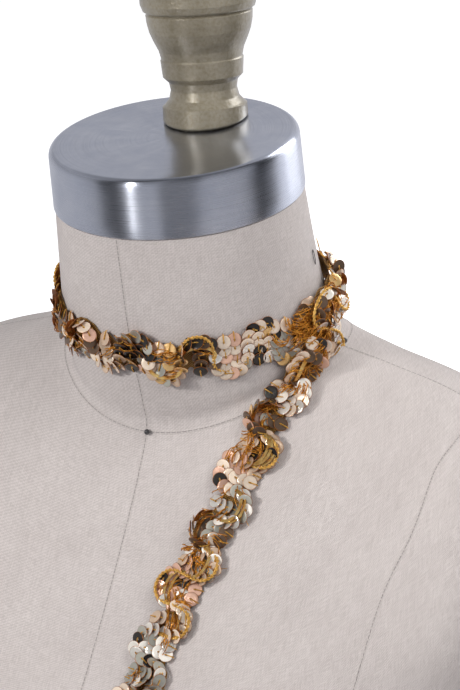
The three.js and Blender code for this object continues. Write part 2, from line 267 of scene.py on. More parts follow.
# Neck cap and finial, as the solids have them
CAP_LEAN = 11.0
CAP_HEIGHT = 25.0
CAP_RADII = (52.0, 51.5)
CAP_EDGE_RADIUS = 3.0
CAP_EDGE_STEPS = 8
CAP_FACETS = 256
PIECE_GAP = 0.35
FINIAL_FOOT_HEIGHT = 5.6
FINIAL_PLACE = (2.9, 22.2)
FINIAL_LEAN = (2.0, 2.9)
FINIAL_FACETS = 160
FINIAL_PROFILE = (
    (0.0, 16.9), (0.7, 17.6), (5.6, 17.5), (6.3, 16.6), (8.6, 14.6), (12.4, 13.7),
    (15.6, 14.3), (17.9, 16.6), (24.8, 17.2), (25.4, 16.8), (28.8, 17.6), (32.9, 19.5),
    (36.7, 21.0), (40.4, 21.8), (43.8, 22.1), (44.6, 21.4), (45.5, 23.1), (48.4, 24.1),
    (54.0, 24.1), (57.0, 22.0), (59.6, 17.0), (61.4, 10.0), (62.2, 4.0),
)

# Pins: degrees round from the left side, and ring
FRONT_PIN = (-89, 3.07)
SIDE_PIN = (3.5, 3.04)
WIRE_LOOP = (13, 0.7)
PIN_HEAD_RADIUS = 1.2
WIRE_RADIUS = 0.35
FINE_WIRE_RADIUS = 0.16
WIRE_LOOP_RADIUS = 1.0
WIRE_LOOP_STRETCH = 3.2

# Seams of the form's cover: (turn, ring) from one end to the other, the paired ones on the left
NECK_SEAM_RING = 3.07
SEAMS = {
    "seam_front_neck": ((-90, 0.02), (-90, 1.0), (-90, 2.0), (-90, 3.04)),
    "seam_front": ((-90, 3.1), (-90, 4.5), (-90, 6.0), (-90, 7.5), (-90, 8.97)),
    "seam_back": ((90, 0.02), (90, 1.5), (90, 3.0), (90, 4.5), (90, 6.0), (90, 7.5), (90, 8.97)),
}
PAIRED_SEAMS = {
    "seam_shoulder": ((2, 3.1), (2.5, 4.0), (2, 5.0), (1, 6.0), (0, 6.9)),
    "seam_princess": (
        (-3, 5.3), (-11, 5.34), (-22, 5.44), (-33, 5.8), (-42, 6.18), (-48, 6.8), (-51, 7.6),
        (-53, 8.97),
    ),
    "seam_side": ((0, 6.9), (0, 7.6), (0, 8.3), (0, 8.97)),
    "seam_back_princess": (
        (4, 5.3), (14, 5.5), (26, 5.8), (36, 6.2), (43, 6.9), (47, 7.8), (49, 8.97),
    ),
}

# A seam's section (aside, up), and the sewing down its middle
SEAM_SECTION = (
    (-0.85, -0.05), (-0.5, 0.13), (-0.16, 0.15), (0.0, 0.02), (0.16, 0.15), (0.5, 0.13), (0.85, -0.05),
    (0.0, -0.25),
)
SEAM_SPACING = 1.2
STITCH_LENGTH = 1.9
STITCH_GAP = 0.5
SEWING_SPACING = 0.4
SEWING_RADIUS = 0.13
SEWING_HEIGHT = 0.10

# Columns round the form's cover, and rows to each of its rings
FORM_AROUND = 288
FORM_DOWN = 20


def catmull(table, position):
    """Rows between the rows of a table, on a smooth curve through them."""
    last = len(table) - 1
    at = np.clip(np.asarray(position, float), 0, last)
    row = np.minimum(np.floor(at).astype(int), last - 1)
    part = (at - row)[..., None]
    before = table[np.maximum(row - 1, 0)]
    start = table[row]
    end = table[row + 1]
    after = table[np.minimum(row + 2, last)]
    pull = 2 * before - 5 * start + 4 * end - after
    bend = -before + 3 * start - 3 * end + after
    return start + 0.5 * part * (end - before + part * (pull + part * bend))


def form_point(angle, ring):
    """Points of the form's surface, for angles round it in radians and ring positions down it."""
    angle, ring = np.broadcast_arrays(np.asarray(angle, float), np.asarray(ring, float))
    half, front, back, side_z, front_z, back_z, square = np.moveaxis(catmull(FORM_RINGS, ring), -1, 0)
    side = np.cos(angle)
    rear = np.sin(angle)
    power = 2 / square
    x = half * np.sign(side) * np.abs(side) ** power
    y = (front + back) / 2 + (back - front) / 2 * np.sign(rear) * np.abs(rear) ** power
    z = side_z + (back_z - front_z) / 2 * rear + ((back_z + front_z) / 2 - side_z) * rear * rear
    return np.stack([x, y, z], -1)


def unit(vectors):
    return vectors / np.linalg.norm(vectors, axis=-1, keepdims=True)


def dot(a, b):
    return np.sum(a * b, -1, keepdims=True)


def form_tangents(angle, ring):
    step = 1e-3
    around = (form_point(angle + step, ring) - form_point(angle - step, ring)) / (2 * step)
    down = (form_point(angle, ring + step) - form_point(angle, ring - step)) / (2 * step)
    return around, down


def form_normal(angle, ring):
    around, down = form_tangents(angle, ring)
    return unit(np.cross(down, around))


def walk(angle, ring, direction, distance, steps=8):
    """Walks over the form's surface from places, in directions, for distances."""
    heading = unit(np.array(direction, float))
    angle = np.array(angle, float)
    ring = np.array(ring, float)
    length = np.asarray(distance, float) / steps
    for _ in range(steps):
        around, down = form_tangents(angle, ring)
        normal = unit(np.cross(down, around))
        heading = unit(heading - normal * dot(heading, normal))
        across = dot(around, around)[..., 0]
        mixed = dot(around, down)[..., 0]
        along = dot(down, down)[..., 0]
        size = across * along - mixed * mixed
        to_around = dot(around, heading)[..., 0]
        to_down = dot(down, heading)[..., 0]
        angle = angle + (along * to_around - mixed * to_down) / size * length
        ring = ring + (across * to_down - mixed * to_around) / size * length
    normal = form_normal(angle, ring)
    heading = unit(heading - normal * dot(heading, normal))
    return form_point(angle, ring), normal, heading


def smooth_step(value, low, high):
    part = np.clip((value - low) / (high - low), 0, 1)
    return part * part * (3 - 2 * part)


def path_lengths(points):
    """How far along a line each of its points lies."""
    return np.concatenate([[0], np.cumsum(np.linalg.norm(np.diff(points, axis=0), axis=1))])


class TrimLine:
    """The trim's centre line on the form, by length from its hidden start."""

    def __init__(self):
        rows = np.linspace(0, len(TRIM_PATH) - 1, (len(TRIM_PATH) - 1) * 24 + 1)
        self.turn, self.ring = catmull(TRIM_PATH, rows).T
        self.lengths = path_lengths(form_point(np.radians(self.turn), self.ring))
        self.length = self.lengths[-1]
        self.first_stretch = self.centre(np.arange(0, FIRST_STRETCH, 2.0))

    def place(self, u):
        turn = np.interp(u, self.lengths, self.turn)
        ring = np.interp(u, self.lengths, self.ring)
        return np.radians(turn), ring

    def centre(self, u):
        return form_point(*self.place(u))

    def lay(self, u, v):
        """Foot point, normal, along, across and lap cover for lengths u and offsets v."""
        u, v = np.broadcast_arrays(np.asarray(u, float), np.asarray(v, float))
        angle, ring = self.place(u)
        forward = unit(self.centre(u + 0.5) - self.centre(u - 0.5))
        normal = form_normal(angle, ring)
        across = unit(np.cross(normal, forward))
        foot, normal, across = walk(angle, ring, across, v)
        along = np.cross(across, normal)
        gaps = np.linalg.norm(foot[..., None, :] - self.first_stretch, axis=-1).min(-1)
        cover = 1 - smooth_step(gaps, LAP_REACH, LAP_REACH + LAP_SLOPE)
        cover = np.where(np.degrees(angle) > LAP_FROM_TURN, 0.0, cover)
        return foot, normal, along, across, cover

    def lift(self, cover):
        return CLOTH_GAP + (PRESSED_THICKNESS + LAP_GAP) * cover


LINE = TrimLine()


def lobe(index):
    return dict(zip(LOBE_COLUMNS, LOBES[index % len(LOBES)]))


def crest_side(index):
    """The side of the trim that a crest lies on, 1 or -1."""
    return 1 if index % 2 == 0 else -1


def crest_look(index):
    look = CRESTS.get(index, OTHER_CRESTS[index % len(OTHER_CRESTS)])
    return dict(zip(CREST_COLUMNS, look))


def string_point(wave):
    """The string that runs to and fro across the trim, from crest to crest."""
    first = math.floor(wave)
    part = wave - first
    here, following = lobe(first), lobe(first + 1)
    reach = here["reach"] if part < 0.5 else following["reach"]
    lean = here["lean"] + (following["lean"] - here["lean"]) * part
    u = HALF_WAVE * wave + WAVE_SWING * math.sin(2 * math.pi * part) + lean
    return u, crest_side(first) * reach * math.cos(math.pi * part)


def string_sequins():
    """Sequins of the long string: u, v, heading, roll, level and crest."""
    rows = []
    step = 0.01
    travelled = 0.0
    wave = step
    previous = string_point(0)
    while wave < LINE.length / HALF_WAVE:
        here = string_point(wave)
        length = math.hypot(here[0] - previous[0], here[1] - previous[1])
        travelled += length
        if travelled >= SEQUIN_SPACING:
            travelled -= SEQUIN_SPACING
            heading = math.atan2(here[1] - previous[1], here[0] - previous[0])
            index = math.floor(wave + 0.5)
            roll = crest_side(index) * lobe(index)["roll"]
            rows.append((here[0], here[1], heading, roll, STRING_LEVEL, index))
        previous = here
        wave += step
    return rows


def column_sequins():
    """Sequins of the short columns inside the half waves, in the same order of values."""
    rows = []
    for index in range(1, math.ceil(LINE.length / HALF_WAVE)):
        shape = lobe(index)
        side = crest_side(index)
        for column in range(shape["columns"]):
            offset = (column - (shape["columns"] - 1) / 2) * COLUMN_GAP
            u = HALF_WAVE * index + shape["lean"] + offset
            v = shape["reach"] - COLUMN_INSET
            while v > COLUMN_STOP - shape["reach"]:
                rows.append((u, side * v, -side * math.pi / 2, 0, COLUMN_LEVEL * column, index))
                v -= SEQUIN_SPACING
    return rows


def new_mesh(name, vertices, faces, materials, smooth_angle=180, material_index=None):
    """An object from points in millimetres, smooth but for its edges over an angle."""
    mesh = bpy.data.meshes.new(name)
    mesh.from_pydata((np.asarray(vertices).reshape(-1, 3) * MM).tolist(), [], faces)
    for material in materials:
        mesh.materials.append(material)
    if material_index is not None:
        mesh.polygons.foreach_set("material_index", material_index)
    mesh.update()
    mesh.shade_smooth()
    if smooth_angle < 180:
        mesh.set_sharp_from_angle(angle=math.radians(smooth_angle))
    piece = bpy.data.objects.new(name, mesh)
    bpy.context.scene.collection.objects.link(piece)
    return piece


def add_piece(piece):
    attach(piece, ROOT)
    return piece


def point_values(piece, name, values):
    attribute = piece.data.attributes.new(name, "FLOAT", "POINT")
    attribute.data.foreach_set("value", np.asarray(values, np.float32))


def add_uvs(piece, name, uvs):
    """Texture coordinates, one pair for each corner of each face."""
    piece.data.uv_layers.new(name=name).data.foreach_set("uv", np.asarray(uvs, np.float32).ravel())


# Materials

WHITE = (1.0, 1.0, 1.0)


class Nodes:
    """A short way to build the nodes of a material or of the world."""

    def __init__(self, owner, shader="Principled BSDF"):
        self.owner = owner
        owner.use_nodes = True
        self.tree = owner.node_tree
        self.shader = self.tree.nodes[shader]

    def put(self, socket, value):
        """Links a socket, or sets it."""
        if isinstance(value, bpy.types.NodeSocket):
            self.tree.links.new(value, socket)
        else:
            socket.default_value = value

    def set(self, **values):
        """Links or sets the shader's own sockets, named with _ for a space."""
        for key, value in values.items():
            self.put(self.shader.inputs[key.replace("_", " ")], value)

    def add(self, kind, settings=None, **inputs):
        """A node with its settings, and its sockets by name or as i and their number."""
        node = self.tree.nodes.new(kind)
        for key, value in (settings or {}).items():
            setattr(node, key, value)
        for key, value in inputs.items():
            numbered = key[0] == "i" and key[1:].isdigit()
            self.put(node.inputs[int(key[1:]) if numbered else key], value)
        return node

    def ramp(self, factor, stops, interpolation="LINEAR"):
        node = self.add("ShaderNodeValToRGB", Fac=factor)
        node.color_ramp.interpolation = interpolation
        elements = node.color_ramp.elements
        while len(elements) < len(stops):
            elements.new(0.5)
        for element, (position, color) in zip(elements, stops):
            element.position = position
            element.color = (*color, 1.0)
        return node.outputs["Color"]

    def tones(self, factor, dark, light, low=0.3, high=0.7):
        return self.ramp(factor, [(low, dark), (high, light)])

    def math(self, operation, a, b=0.0, c=0.0):
        return self.add("ShaderNodeMath", {"operation": operation}, i0=a, i1=b, i2=c).outputs[0]

    def noise(self, scale, detail, vector, roughness=0.5):
        return self.add("ShaderNodeTexNoise", Vector=vector, Scale=scale, Detail=detail,
                        Roughness=roughness).outputs["Fac"]

    def bump(self, height, strength, distance, normal=None):
        node = self.add("ShaderNodeBump", Strength=strength, Distance=distance, Height=height)
        if normal is not None:
            self.put(node.inputs["Normal"], normal)
        return node.outputs["Normal"]

    def multiply(self, a, b):
        """Two colours multiplied."""
        settings = {"data_type": "RGBA", "blend_type": "MULTIPLY"}
        return self.add("ShaderNodeMix", settings, i0=1.0, i6=a, i7=b).outputs[2]

    def object_vector(self):
        return self.add("ShaderNodeTexCoord").outputs["Object"]

    def uv(self, name):
        return self.add("ShaderNodeUVMap", {"uv_map": name}).outputs["UV"]

    def stretch(self, vector, across, down):
        return self.add("ShaderNodeMapping", Vector=vector, Scale=(across, down, 1.0)).outputs[0]

    def attribute(self, name):
        return self.add("ShaderNodeAttribute", {"attribute_name": name}).outputs["Fac"]

    def levels(self, value, stops):
        """Grey levels along a value, from (value, level) stops."""
        low, high = stops[0][0], stops[-1][0]
        part = self.math("DIVIDE", self.math("SUBTRACT", value, low), high - low)
        return self.ramp(part, [((place - low) / (high - low), (level, level, level * COOL_GREY))
                                for place, level in stops])


def material(name):
    return Nodes(bpy.data.materials.new(name))


def flecked(name, scale, dark, light, detail=2.0, grain=0.5, **values):
    """The nodes of a material in two tones of a fine noise, which they keep as fleck."""
    m = material(name)
    m.fleck = m.noise(scale, detail, m.object_vector(), grain)
    m.set(Base_Color=m.tones(m.fleck, dark, light), **values)
    return m


def cloth_material():
    """Plain woven linen, with the threads across and down and a soft slub."""
    m = material("form_linen")
    uv = m.uv("threads")
    axes = m.add("ShaderNodeSeparateXYZ", Vector=uv).outputs
    wobble = m.math("MULTIPLY", m.noise(0.25, 2.0, uv), 2.4)
    across = m.math("SINE", m.math("ADD", m.math("MULTIPLY", axes[0], 11.0), wobble))
    down = m.math("SINE", m.math("ADD", m.math("MULTIPLY", axes[1], 11.0), wobble))
    weave = m.math("MULTIPLY", across, down)
    diagonal = m.math("MULTIPLY_ADD", axes[0], 3.6, m.math("MULTIPLY", axes[1], 5.0))
    twill = m.math("SINE", m.math("ADD", diagonal, wobble))
    slub = m.noise(1.6, 3.0, uv, 0.65)
    patches = m.tones(m.noise(0.035, 2.0, uv), (0.600, 0.550, 0.532), (0.648, 0.598, 0.578))
    warp = m.noise(1.0, 2.0, m.stretch(uv, 2.6, 0.16))
    weft = m.noise(1.0, 2.0, m.stretch(uv, 0.16, 2.6))
    streaks = m.math("MULTIPLY_ADD", m.math("ADD", warp, weft), 2.2, -1.75)
    thread = m.math("MULTIPLY_ADD", twill, 0.3, streaks)
    darker = m.tones(thread, (0.80, 0.79, 0.785), WHITE, 0.0, 0.9)
    speck = m.tones(slub, (0.88, 0.875, 0.87), WHITE, 0.25, 0.6)
    m.set(Base_Color=m.multiply(m.multiply(patches, darker), speck), Roughness=0.9, Sheen_Weight=0.12,
          Sheen_Roughness=0.4, Normal=m.bump(weave, 0.35, 0.00012, m.bump(slub, 0.25, 0.0004)))
    return m.owner


def seam_thread_material():
    return flecked("seam_thread", 900.0, (0.20, 0.185, 0.175), (0.33, 0.31, 0.295), Roughness=0.85).owner


def brushed_steel_material(name, radial):
    """Steel with brush lines: round the side of the cap, or in rings on its top."""
    m = material(name)
    uv = m.uv("brush")
    stretched = m.stretch(uv, 0.012, 5.0) if radial else m.stretch(uv, 0.010, 6.5)
    lines = m.noise(1.0, 5.0, stretched, 0.7)
    tone = m.tones(m.noise(0.06, 3.0, uv, 0.6), (0.64, 0.68, 0.78), (0.76, 0.79, 0.87))
    streak = m.tones(lines, (0.78, 0.78, 0.79), WHITE, high=0.65)
    tangent = m.add("ShaderNodeTangent", {"direction_type": "RADIAL", "axis": "Z"}).outputs[0]
    m.set(Base_Color=m.multiply(tone, streak), Metallic=1.0, Anisotropic=0.7 if radial else 1.0,
          Anisotropic_Rotation=0.25, Tangent=tangent, Normal=m.bump(lines, 0.06, 0.00006),
          Roughness=m.math("MULTIPLY_ADD", lines, 0.12, 0.15 if radial else 0.22))
    return m.owner


def cast_paint_material():
    """Khaki metallic paint over a rough casting, glossy where it has run."""
    m = material("finial_paint")
    where = m.object_vector()
    grain = m.noise(260.0, 3.0, where, 0.6)
    pits = m.noise(800.0, 2.0, where)
    color = m.tones(m.noise(45.0, 3.0, where), (0.225, 0.198, 0.145), (0.350, 0.318, 0.248))
    spot = m.tones(pits, (0.84, 0.80, 0.72), WHITE, high=0.6)
    rough = m.bump(pits, 0.35, 0.0002, m.bump(grain, 0.45, 0.0006))
    m.set(Base_Color=m.multiply(color, spot), Roughness=m.math("MULTIPLY_ADD", grain, 0.2, 0.24),
          Metallic=0.35, Coat_Weight=0.6, Coat_Roughness=0.24, Normal=rough, Coat_Normal=rough)
    return m.owner


def sequin_face_material():
    """Metallised film in shades that are partly the sequins' own and partly painted reflections, with fine
    turned rings.
    """
    m = material("sequin_film")
    shades = list(SHADES_AND_REFLECTIONS.values())
    stops = [(number / len(shades), shade) for number, shade in enumerate(shades)]
    # Each sequin's shade is partly its own colour and partly a painted reflection or highlight
    color = m.ramp(m.attribute("tint"), stops, "CONSTANT")
    rings = m.math("SINE", m.math("MULTIPLY", m.attribute("disc_radius"), 95.0))
    scratches = m.tones(m.noise(900.0, 2.0, m.object_vector()), (0.93, 0.92, 0.91), WHITE)
    worn = m.attribute("worn")
    m.set(Base_Color=m.multiply(color, scratches), Roughness=m.math("MULTIPLY_ADD", worn, 0.34, 0.10),
          Metallic=m.math("MULTIPLY_ADD", worn, -0.50, 0.68), Coat_Weight=0.3, Coat_Roughness=0.08,
          Normal=m.bump(rings, 0.14, 0.00006))
    return m.owner


def sequin_back_material():
    # Amber that is partly the film's own back and partly painted shade in the gaps and edges between the
    # overlapping sequins
    return flecked("sequin_amber_and_shade", 700.0, (0.20, 0.058, 0.014), (0.54, 0.19, 0.035), Metallic=0.5,
                   Roughness=0.32).owner


def gold_thread_material(name, dark, light, roughness):
    m = flecked(name, 650.0, dark, light, 3.0, 0.6, Metallic=0.5, Roughness=roughness)
    m.set(Normal=m.bump(m.noise(2600.0, 2.0, m.object_vector()), 0.3, 0.0001))
    return m.owner


def film_material():
    """Gold film, half clear, with a faint ripple."""
    m = flecked("gold_film", 420.0, (0.70, 0.30, 0.03), (1.0, 0.74, 0.30), Metallic=0.7,
                Roughness=0.13, IOR=1.46, Transmission_Weight=0.4)
    m.set(Normal=m.bump(m.fleck, 0.22, 0.0003))
    return m.owner


def braid_material():
    """The clear and gold net that the strings are sewn to, in a dark amber that partly paints the shade
    beneath the sequins.
    """
    m = material("braid_net_and_shade")
    axes = m.add("ShaderNodeSeparateXYZ", Vector=m.uv("threads")).outputs
    left = m.math("SINE", m.math("MULTIPLY", m.math("ADD", axes[0], axes[1]), 6.0))
    right = m.math("SINE", m.math("MULTIPLY", m.math("SUBTRACT", axes[0], axes[1]), 6.0))
    net = m.math("MAXIMUM", left, right)
    # These dark amber tones are partly the net's own colour and partly painted shade beneath the sequins
    m.set(Base_Color=m.tones(net, (0.13, 0.06, 0.015), (0.46, 0.26, 0.07), 0.2, 0.8), Metallic=0.35,
          Roughness=0.4, Normal=m.bump(net, 0.5, 0.0002))
    return m.owner


def pin_material():
    return flecked("pin_steel", 500.0, (0.10, 0.098, 0.10), (0.2, 0.195, 0.2), Metallic=0.9,
                   Roughness=0.28).owner


def floor_material():
    return flecked("floor", 0.8, (0.90, 0.90, 0.905), (0.93, 0.93, 0.935), Roughness=0.85,
                   Emission_Color=(*WHITE, 1.0), Emission_Strength=0.75).owner


# The dress form's cover and seams


def grid_faces(rows, columns, closed=True, looped=False):
    """Quads of a grid of points, closed round the columns or not, and looped round the rows or not."""
    faces = []
    for row in range(rows if looped else rows - 1):
        here, following = row * columns, (row + 1) % rows * columns
        for column in range(columns if closed else columns - 1):
            right = (column + 1) % columns
            faces.append((here + column, following + column, following + right, here + right))
    return faces


def moved_on(faces, offset):
    return [tuple(offset + corner for corner in face) for face in faces]


def capped_grid(rows, columns):
    """Faces of a closed grid with a fan over each end, whose centre points come last."""
    total = rows * columns
    faces = grid_faces(rows, columns)
    for column in range(columns):
        right = (column + 1) % columns
        faces.append((total, column, right))
        faces.append((total + 1, total - columns + right, total - columns + column))
    return faces


def swept_mesh(name, runs, section, materials, smooth_angle=180):
    """One mesh of closed bars. A run is points with normals and side directions."""
    section = np.array(section)
    sides = len(section)
    vertices = []
    faces = []
    total = 0
    for points, normals, across in runs:
        if len(points) < 2:
            continue
        aside = across[:, None, :] * section[:, :1]
        vertices.append(points[:, None, :] + aside + normals[:, None, :] * section[:, 1:])
        count = len(points) * sides
        ends = [tuple(range(sides)), tuple(reversed(range(count - sides, count)))]
        faces += moved_on(grid_faces(len(points), sides) + ends, total)
        total += count
    return new_mesh(name, np.concatenate(vertices), faces, materials, smooth_angle)


def round_section(radius, sides):
    turns = -np.linspace(0, 2 * math.pi, sides, endpoint=False)
    return np.stack([np.cos(turns), np.sin(turns)], -1) * radius


def form_cover(cloth):
    rings = (len(FORM_RINGS) - 1) * FORM_DOWN + 1
    angles = np.linspace(-math.pi, math.pi, FORM_AROUND, endpoint=False)
    positions = np.linspace(0, len(FORM_RINGS) - 1, rings)
    points = form_point(angles[None, :], positions[:, None])
    centres = [(0, (points[row, :, 1].min() + points[row, :, 1].max()) / 2, points[row, :, 2].mean())
               for row in (0, -1)]
    vertices = np.concatenate([points.reshape(-1, 3), centres])
    piece = new_mesh("form_cover", vertices, capped_grid(rings, FORM_AROUND), [cloth], 40)
    around = np.linalg.norm(np.roll(points, -1, 1) - points, axis=-1)
    around_length = np.concatenate([np.zeros((rings, 1)), np.cumsum(around, 1)], 1)
    around_length -= around_length[:, FORM_AROUND // 4][:, None]
    down = np.linalg.norm(np.diff(points, axis=0), axis=-1).mean(1)
    down_length = np.concatenate([[0], np.cumsum(down)])
    uvs = np.zeros((len(piece.data.loops), 2), np.float32)
    for polygon in piece.data.polygons:
        corners = [piece.data.loops[i].vertex_index for i in polygon.loop_indices]
        columns = [corner % FORM_AROUND for corner in corners]
        wraps = max(columns) - min(columns) > FORM_AROUND / 2
        for loop_index, corner, column in zip(polygon.loop_indices, corners, columns):
            row = min(corner // FORM_AROUND, rings - 1)
            place = FORM_AROUND if wraps and column == 0 else column
            if corner < rings * FORM_AROUND:
                uvs[loop_index] = (around_length[row, place], down_length[row])
    add_uvs(piece, "threads", uvs)
    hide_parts("form_body")
    return add_piece(piece)


def surface_curve(places, spacing):
    """Even points on the form along (turn, ring) places, with normals, sides and lengths."""
    table = np.array(places, float)
    rows = np.linspace(0, len(table) - 1, 60 * len(table))
    turn, ring = catmull(table, rows).T
    lengths = path_lengths(form_point(np.radians(turn), ring))
    even = np.linspace(0, lengths[-1], max(2, int(lengths[-1] / spacing)) + 1)
    turn = np.interp(even, lengths, turn)
    ring = np.interp(even, lengths, ring)
    points = form_point(np.radians(turn), ring)
    normals = form_normal(np.radians(turn), ring)
    along = unit(np.gradient(points, axis=0))
    return points, normals, np.cross(normals, along), even


def seam(name, places, cloth, thread):
    """A pressed seam: two low folds with the sewing line sunk between them."""
    fold = surface_curve(places, SEAM_SPACING)[:3]
    folds = swept_mesh(name, [fold], SEAM_SECTION, [cloth], 60)
    folds.data.uv_layers.new(name="threads")
    add_piece(folds)
    fine, normal, side, length = surface_curve(places, SEWING_SPACING)
    runs = []
    for start in np.arange(0, length[-1] - STITCH_LENGTH, STITCH_LENGTH + STITCH_GAP):
        chosen = (length >= start) & (length <= start + STITCH_LENGTH)
        runs.append((fine[chosen] + normal[chosen] * SEWING_HEIGHT, normal[chosen], side[chosen]))
    sewing = swept_mesh(name + "_sewing", runs, round_section(SEWING_RADIUS, 5), [thread])
    add_piece(sewing)


def form_seams(cloth, thread):
    for name, places in SEAMS.items():
        seam(name, places, cloth, thread)
    for name, places in PAIRED_SEAMS.items():
        seam(name + "_left", places, cloth, thread)
        seam(name + "_right", [(-180 - turn, ring) for turn, ring in places], cloth, thread)
    seam("seam_neck", [(turn, NECK_SEAM_RING) for turn in range(-180, 181, 10)], cloth, thread)


# The neck cap and the finial

def turned_mesh(name, profile, facets, materials, smooth_angle):
    """A turned solid on +Z from (height, radius) pairs, closed at both ends."""
    angles = np.linspace(0, 2 * math.pi, facets, endpoint=False)
    heights, radii = np.array(profile, float).T
    x = radii[:, None] * np.cos(angles)
    y = radii[:, None] * np.sin(angles)
    z = np.repeat(heights[:, None], facets, 1)
    ends = [(0, 0, heights[0]), (0, 0, heights[-1])]
    vertices = np.concatenate([np.stack([x, y, z], -1).reshape(-1, 3), ends])
    faces = [tuple(reversed(face)) for face in capped_grid(len(heights), facets)]
    return new_mesh(name, vertices, faces, materials, smooth_angle)


def cap_normal():
    lean = math.radians(CAP_LEAN)
    return Vector((0, -math.sin(lean), math.cos(lean)))


def cap_seat(height):
    front, back, side_height = FORM_RINGS[0][1:4]
    return (Vector((0, (front + back) / 2, side_height)) + cap_normal() * height) * MM


def neck_cap():
    side = brushed_steel_material("cap_side_steel", False)
    top = brushed_steel_material("cap_top_steel", True)
    bottom_radius, top_radius = CAP_RADII
    profile = [(0.0, bottom_radius - 0.5), (0.25, bottom_radius - 0.1), (0.6, bottom_radius)]
    profile += [(height, bottom_radius - (bottom_radius - top_radius) * height / CAP_HEIGHT)
                for height in (6.0, 12.0, 18.0, CAP_HEIGHT - CAP_EDGE_RADIUS)]
    for step in range(1, CAP_EDGE_STEPS + 1):
        angle = math.radians(90 * step / CAP_EDGE_STEPS)
        profile.append((CAP_HEIGHT - CAP_EDGE_RADIUS + CAP_EDGE_RADIUS * math.sin(angle),
                        top_radius - CAP_EDGE_RADIUS + CAP_EDGE_RADIUS * math.cos(angle)))
    profile += [(CAP_HEIGHT, radius) for radius in (44.0, 38.0, 30.0, 20.0, 10.0, 3.0)]
    piece = turned_mesh("neck_cap_shell", profile, CAP_FACETS, [side, top], 50)
    edge = CAP_HEIGHT - CAP_EDGE_RADIUS * 0.35
    uvs = np.zeros((len(piece.data.loops), 2), np.float32)
    for polygon in piece.data.polygons:
        on_top = polygon.center.z > edge * MM
        polygon.material_index = 1 if on_top else 0
        for loop_index in polygon.loop_indices:
            point = piece.data.vertices[piece.data.loops[loop_index].vertex_index].co / MM
            angle = math.atan2(point.y, point.x)
            if angle < 0 and polygon.center.y > 0 and polygon.center.x < 0:
                angle += 2 * math.pi
            radius = math.hypot(point.x, point.y)
            uvs[loop_index] = (angle * 50.0, radius if on_top else point.z)
    add_uvs(piece, "brush", uvs)
    piece.rotation_euler = (math.radians(CAP_LEAN), 0, 0)
    piece.location = cap_seat(PIECE_GAP)
    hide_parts("neck_cap")
    return add_piece(piece)


def finial():
    heights, radii = np.array(FINIAL_PROFILE, float).T
    fine = np.unique(np.concatenate([np.arange(0, heights[-1], 0.5), heights]))
    profile = list(zip(fine, np.interp(fine, heights, radii))) + [(heights[-1] + 0.05, 2.0)]
    piece = turned_mesh("finial_casting", profile, FINIAL_FACETS, [cast_paint_material()], 50)
    forward, side = FINIAL_LEAN
    rotation = Euler((math.radians(forward), math.radians(-side), 0))
    slope = rotation.to_matrix().inverted() @ cap_normal()
    for vertex in piece.data.vertices:
        height = vertex.co.z / MM
        cut = max(0.0, 1 - height / FINIAL_FOOT_HEIGHT)
        vertex.co.z -= cut * (slope.x * vertex.co.x + slope.y * vertex.co.y) / slope.z
    rearward = cap_normal().cross(Vector((1, 0, 0)))
    piece.rotation_euler = rotation
    place = cap_seat(CAP_HEIGHT + 2 * PIECE_GAP) + rearward * FINIAL_PLACE[1] * MM
    place.x += FINIAL_PLACE[0] * MM
    piece.location = place
    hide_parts("finial")
    return add_piece(piece)


# Pins

def pin_head(name, node, place, steel):
    angle, ring = math.radians(place[0]), place[1]
    centre = form_point(angle, ring) + form_normal(angle, ring) * (PIN_HEAD_RADIUS + PIECE_GAP)
    heights = PIN_HEAD_RADIUS * -np.cos(np.linspace(0.12, math.pi - 0.12, 18))
    radii = np.sqrt(PIN_HEAD_RADIUS ** 2 - heights ** 2)
    piece = turned_mesh(name, list(zip(heights, radii)), 28, [steel], 180)
    piece.rotation_mode = "QUATERNION"
    piece.rotation_quaternion = Vector(form_normal(angle, ring)).to_track_quat("Z", "Y")
    piece.location = Vector(centre) * MM
    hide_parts(node)
    return add_piece(piece)


def wire_loop(steel):
    angle, ring = math.radians(WIRE_LOOP[0]), WIRE_LOOP[1]
    normal = form_normal(angle, ring)
    _, down = form_tangents(angle, ring)
    up = unit(-down)
    sideways = np.cross(up, normal)
    centre = form_point(angle, ring) + normal * (WIRE_RADIUS + PIECE_GAP)
    turns = np.linspace(0, 2 * math.pi, 72, endpoint=False)
    flat = np.stack([np.cos(turns), np.sin(turns) * WIRE_LOOP_STRETCH], -1) * WIRE_LOOP_RADIUS
    points = centre + flat[:, :1] * sideways + flat[:, 1:] * up
    along = unit(np.roll(points, -1, 0) - np.roll(points, 1, 0))
    outward = np.cross(along, normal)
    around = np.linspace(0, 2 * math.pi, 12, endpoint=False)
    section = outward[:, None, :] * np.cos(around)[:, None] + normal * np.sin(around)[:, None]
    vertices = points[:, None, :] + section * FINE_WIRE_RADIUS
    piece = new_mesh("wire_loop", vertices, grid_faces(len(turns), len(around), looped=True), [steel])
    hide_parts("pin_loop")
    return add_piece(piece)


# The trim

def reach_at(sequins, u, side):
    """How far the sequins reach to one side of the centre line."""
    radius = SEQUIN_DIAMETER / 2
    aside = np.abs(u[:, None] - sequins[None, :, 0])
    span = side * sequins[None, :, 1] + np.sqrt(np.clip(radius * radius - aside * aside, 0, None))
    return np.maximum(np.where(aside < radius, span, 0).max(1), NARROWEST_REACH)


